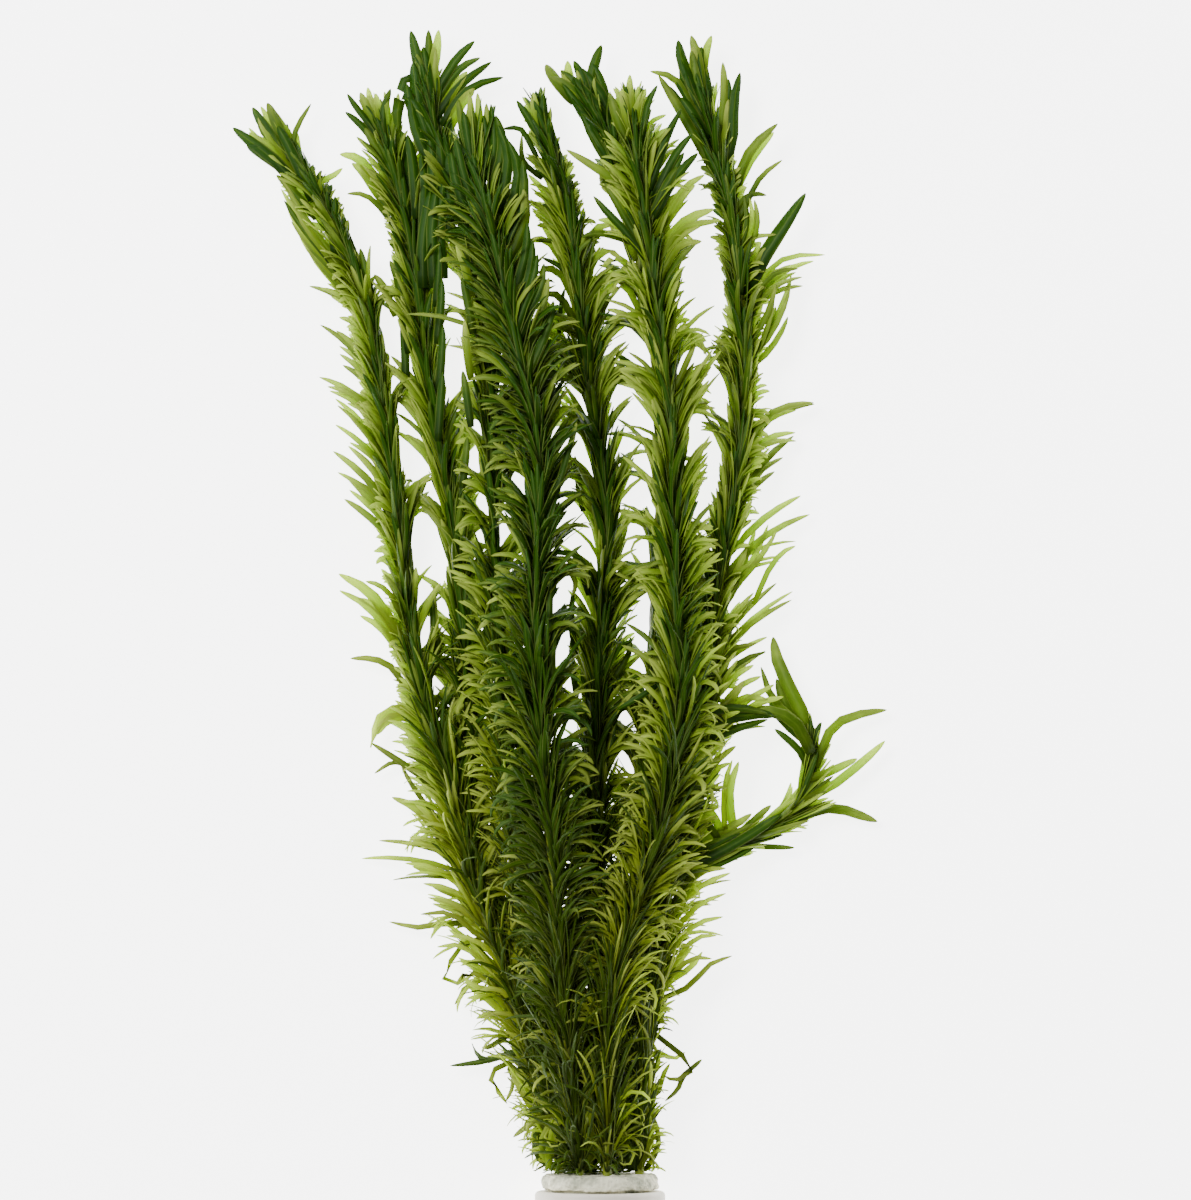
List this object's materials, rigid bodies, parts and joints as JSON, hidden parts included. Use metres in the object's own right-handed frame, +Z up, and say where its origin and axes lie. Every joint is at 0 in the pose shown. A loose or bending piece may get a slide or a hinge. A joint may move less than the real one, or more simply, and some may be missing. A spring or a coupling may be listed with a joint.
{
  "type": "brazilian waterweed bunch",
  "caption": "Bunch of leafy waterweed stems lying flat, held at their cut ends by a foam plug in a ceramic weight ring.",
  "frame": {"origin": "middle of the bunch's box, on the surface that it lies on", "axes": "+Y from the cut ends to the growing tips, +Z up from the surface, +X across the bunch to the right of the picture"},
  "size_m": [0.1408, 0.266, 0.0394],
  "materials": {
    "weed": null,
    "foam": "open soft foam, pale cream with grey mottling, matte",
    "ceramic": "unglazed fired clay, pale cream, matte"
  },
  "bodies": {
    "root": {"stem_1": "weed", "stem_2": "weed", "stem_3": "weed", "stem_4": "weed", "stem_5": "weed", "stem_6": "weed", "stem_7": "weed", "stem_8": "weed", "side_shoot": "weed", "foam_plug": "foam", "ceramic_ring": "ceramic"}
  },
  "joints": []
}
